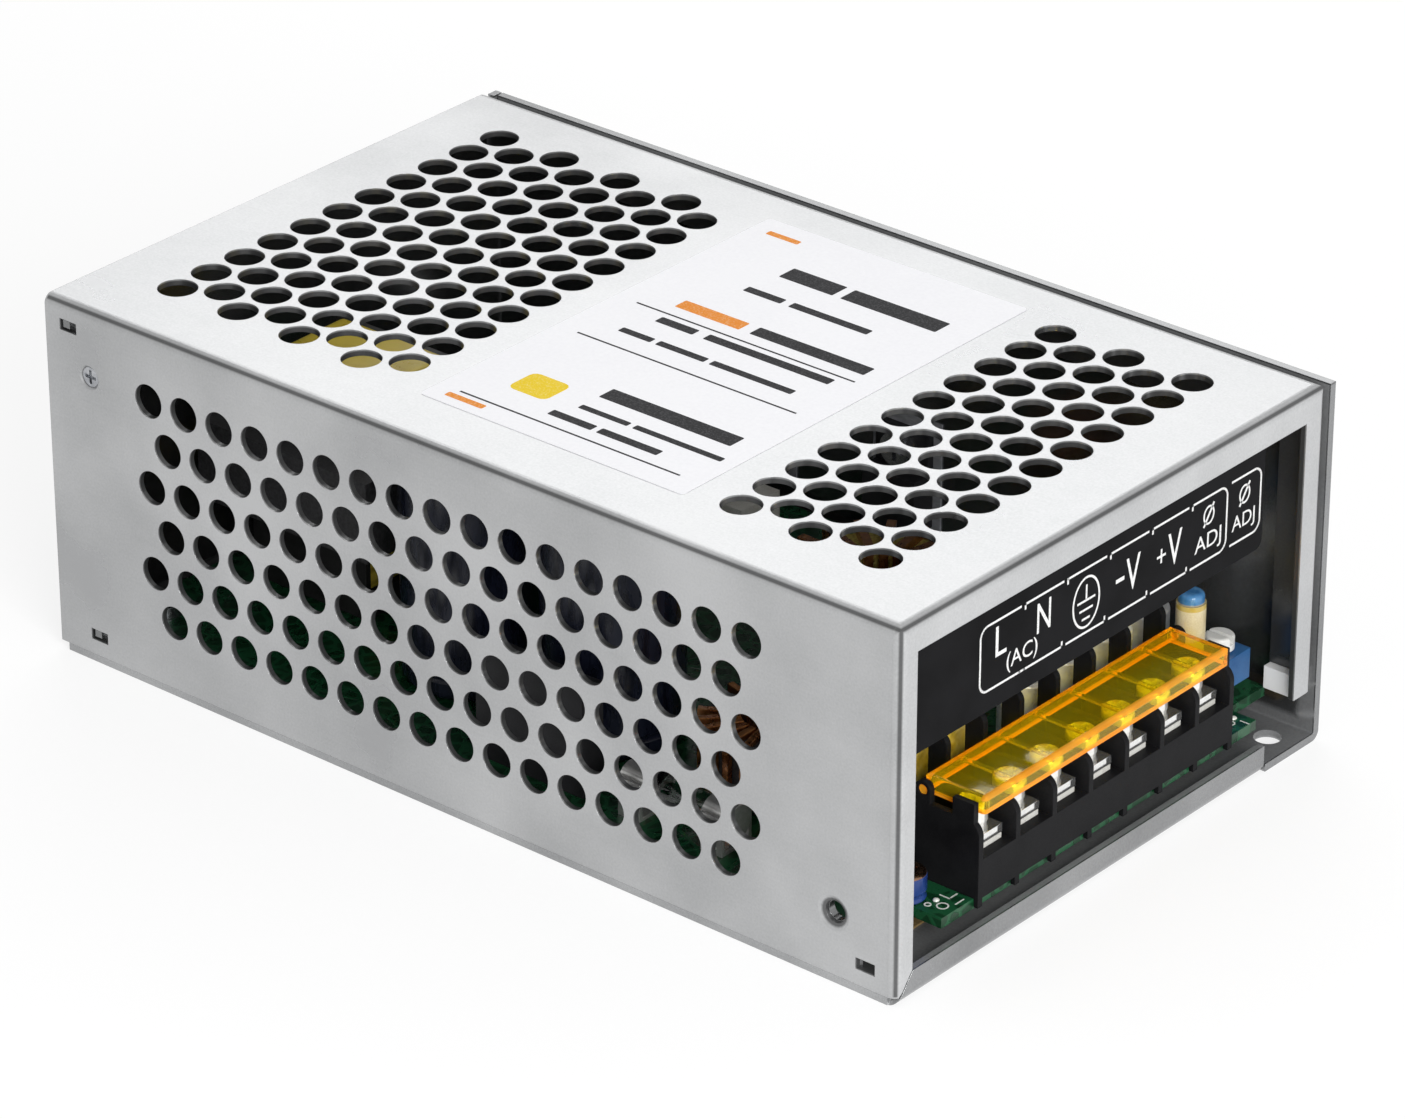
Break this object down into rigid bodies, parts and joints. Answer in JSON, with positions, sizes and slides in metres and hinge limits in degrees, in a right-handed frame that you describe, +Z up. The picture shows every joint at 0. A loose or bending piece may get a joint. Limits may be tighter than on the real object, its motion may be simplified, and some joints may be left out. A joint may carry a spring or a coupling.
{
  "type": "enclosed switching power supply",
  "caption": "Enclosed switching power supply: perforated folded cover on a sheet chassis, circuit board inside, screw terminal block with a hinged clear lid at one end.",
  "frame": {"origin": "under the middle of the base, on the surface it stands on", "axes": "+X to the terminal end, -Y to the perforated long side, +Z up"},
  "size_m": [0.159, 0.098, 0.058],
  "materials": {
    "chassis_sheet": "rolled sheet, satin",
    "cover_sheet": "rolled sheet, satin",
    "zinc_steel": "zinc plated",
    "black_plate": "printed black",
    "fish_paper": "thin sheet",
    "brass": "turned",
    "board_green": "solder mask",
    "block_black": "moulded",
    "tinned_brass": "tinned",
    "nickel_steel": "nickel plated",
    "amber_clear": "clear amber",
    "trim_blue": "moulded",
    "trim_white": "moulded",
    "spacer_beige": "moulded",
    "lamp_blue": "tinted lens",
    "sleeve_blue": "shrink sleeve",
    "can_silver": "drawn can",
    "box_yellow": "moulded box",
    "disc_green": "coated",
    "fuse_glass": "clear",
    "fuse_metal": "nickel plated",
    "ferrite": "sintered",
    "copper": "enamelled wire",
    "disc_blue": "coated",
    "epoxy_black": "moulded",
    "sleeve_black": "shrink sleeve",
    "tape_yellow": "wound tape",
    "bobbin_black": "moulded",
    "pad_grey": "silicone",
    "core_yellow": "coated",
    "cement_white": "cement body",
    "guard_white": "moulded"
  },
  "bodies": {
    "case": {"chassis": "chassis_sheet", "cover_top": "cover_sheet", "cover_left": "cover_sheet", "cover_right": "cover_sheet", "cover_front": "cover_sheet", "cover_screws": "zinc_steel", "marking_plate": "black_plate", "edge_guard": "guard_white", "insulation_sheet": "fish_paper", "standoffs": "brass", "board_screws": "zinc_steel", "circuit_board": "board_green", "terminal_block": "block_black", "terminal_tabs": "tinned_brass", "trimpot_body": "trim_blue", "indicator_spacer": "spacer_beige", "indicator_lamp": "lamp_blue", "front_capacitor": "sleeve_blue", "output_capacitors": "can_silver", "x_capacitor": "box_yellow", "thermistor": "disc_green", "fuse_tube": "fuse_glass", "fuse_caps": "fuse_metal", "fuse_clips": "fuse_metal", "line_choke_core": "ferrite", "line_choke_winding": "copper", "safety_capacitors": "disc_blue", "bridge_rectifier": "epoxy_black", "bulk_capacitor_1": "sleeve_black", "bulk_capacitor_2": "sleeve_black", "transformer_core": "ferrite", "transformer_winding": "tape_yellow", "transformer_bobbin": "bobbin_black", "drive_core": "ferrite", "drive_winding": "tape_yellow", "drive_bobbin": "bobbin_black", "wall_transistors": "epoxy_black", "wall_pads": "pad_grey", "wall_screws": "zinc_steel", "output_choke_core": "core_yellow", "output_choke_winding": "copper", "controller_chip": "epoxy_black", "load_resistor": "cement_white"},
    "lid": {"terminal_lid": "amber_clear"},
    "trim_top": {"trimpot_rotor": "trim_white"},
    "terminal_1": {"terminal_screw_1": "nickel_steel", "terminal_clamp_1": "nickel_steel"},
    "terminal_2": {"terminal_screw_2": "nickel_steel", "terminal_clamp_2": "nickel_steel"},
    "terminal_3": {"terminal_screw_3": "nickel_steel", "terminal_clamp_3": "nickel_steel"},
    "terminal_4": {"terminal_screw_4": "nickel_steel", "terminal_clamp_4": "nickel_steel"},
    "terminal_5": {"terminal_screw_5": "nickel_steel", "terminal_clamp_5": "nickel_steel"},
    "terminal_6": {"terminal_screw_6": "nickel_steel", "terminal_clamp_6": "nickel_steel"},
    "terminal_7": {"terminal_screw_7": "nickel_steel", "terminal_clamp_7": "nickel_steel"}
  },
  "joints": [
    {"name": "lid_hinge", "type": "hinge", "parent": "case", "child": "lid", "pos_m": [0.0681, 0, 0.0213], "axis": [0, -1, 0], "range_deg": [0, 90]},
    {"name": "trim_turn", "type": "hinge", "parent": "case", "child": "trim_top", "pos_m": [0.0688, 0.03848, 0.0145], "axis": [0, 0, 1], "range_deg": [-135, 135]},
    {"name": "terminal_1_lift", "type": "slide", "parent": "case", "child": "terminal_1", "axis": [0, 0, 1], "range_m": [0, 0.002]},
    {"name": "terminal_2_lift", "type": "slide", "parent": "case", "child": "terminal_2", "axis": [0, 0, 1], "range_m": [0, 0.002]},
    {"name": "terminal_3_lift", "type": "slide", "parent": "case", "child": "terminal_3", "axis": [0, 0, 1], "range_m": [0, 0.002]},
    {"name": "terminal_4_lift", "type": "slide", "parent": "case", "child": "terminal_4", "axis": [0, 0, 1], "range_m": [0, 0.002]},
    {"name": "terminal_5_lift", "type": "slide", "parent": "case", "child": "terminal_5", "axis": [0, 0, 1], "range_m": [0, 0.002]},
    {"name": "terminal_6_lift", "type": "slide", "parent": "case", "child": "terminal_6", "axis": [0, 0, 1], "range_m": [0, 0.002]},
    {"name": "terminal_7_lift", "type": "slide", "parent": "case", "child": "terminal_7", "axis": [0, 0, 1], "range_m": [0, 0.002]}
  ]
}
